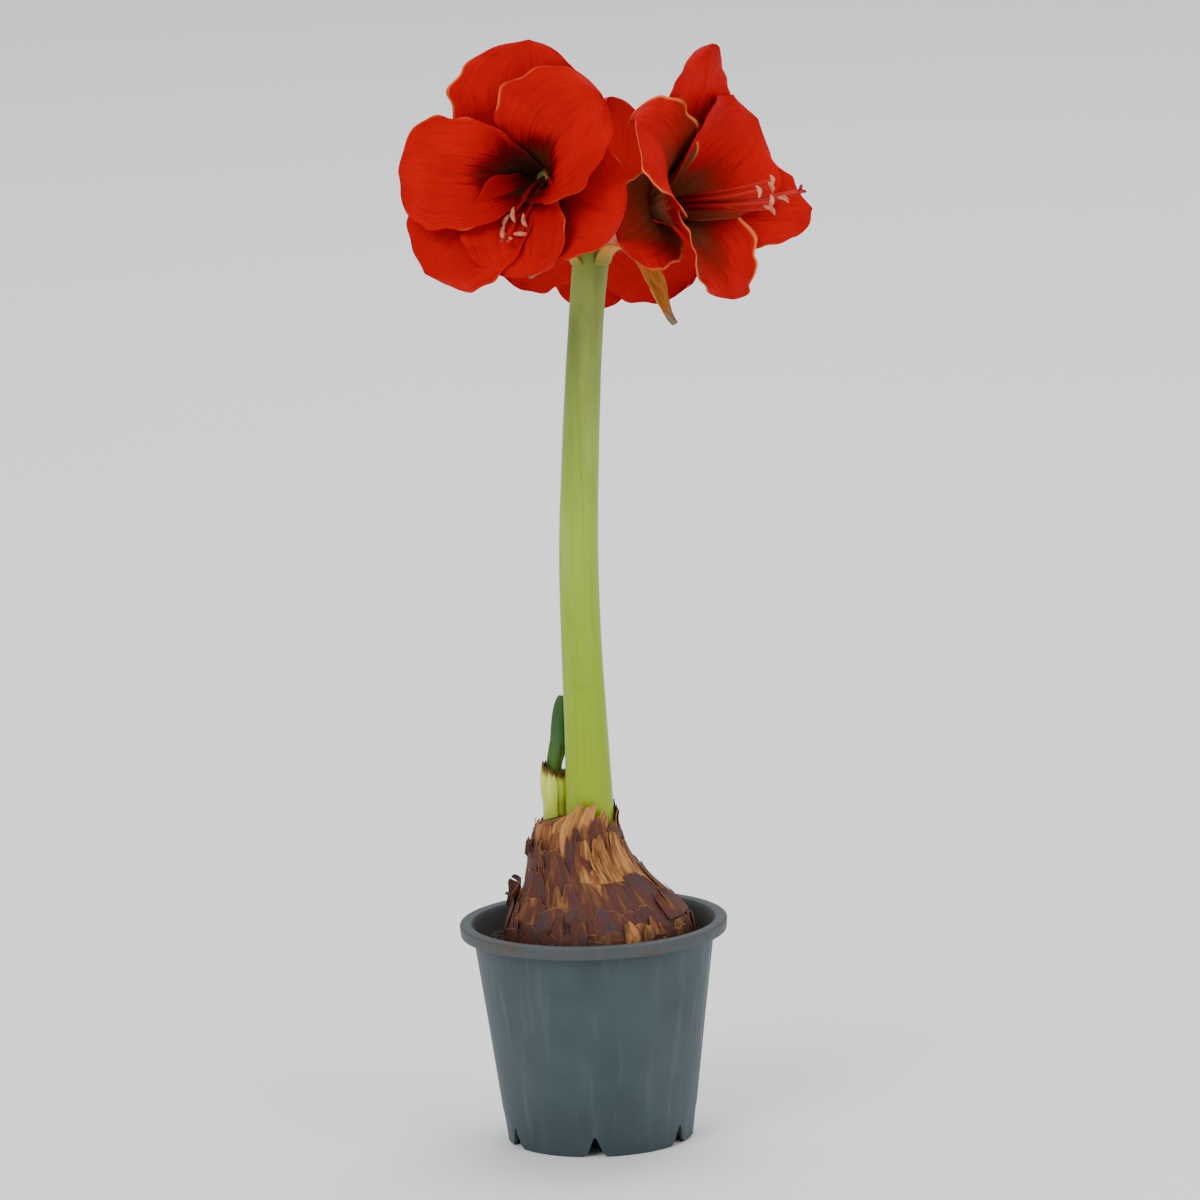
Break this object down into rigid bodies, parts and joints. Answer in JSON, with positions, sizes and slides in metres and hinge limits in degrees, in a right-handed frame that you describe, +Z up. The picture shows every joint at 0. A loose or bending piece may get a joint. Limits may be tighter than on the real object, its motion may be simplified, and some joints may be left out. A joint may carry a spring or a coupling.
{
  "type": "potted amaryllis",
  "caption": "Flowering bulb plant in a small round nursery pot: half-buried bulb in torn dry skins, one tall leafless stem topped by large red trumpet blooms, and one young leaf.",
  "frame": {"origin": "bottom centre of the whole plant's bounding box, on the plane that the pot's foot stands on", "axes": "+Z up along the stem, +X to the viewer's right and -Y towards the viewer in the picture"},
  "size_m": [0.2004, 0.2066, 0.5454],
  "materials": {
    "pot": "moulded blue-grey nursery pot plastic, dull",
    "soil": null,
    "root": null,
    "bulb": null,
    "scape": null,
    "petal": null,
    "spathe": "withered papery ochre bract",
    "sheath": null,
    "leaf": null
  },
  "bodies": {
    "root": {"pot": "pot", "soil": "soil", "roots": "root", "bulb": "bulb", "scape": "scape", "bloom_left": "petal", "bloom_right": "petal", "bloom_back": "petal", "spathe_bract_right": "spathe", "spathe_bract_left": "spathe", "leaf_sheath": "sheath", "young_leaf": "leaf"}
  },
  "joints": []
}
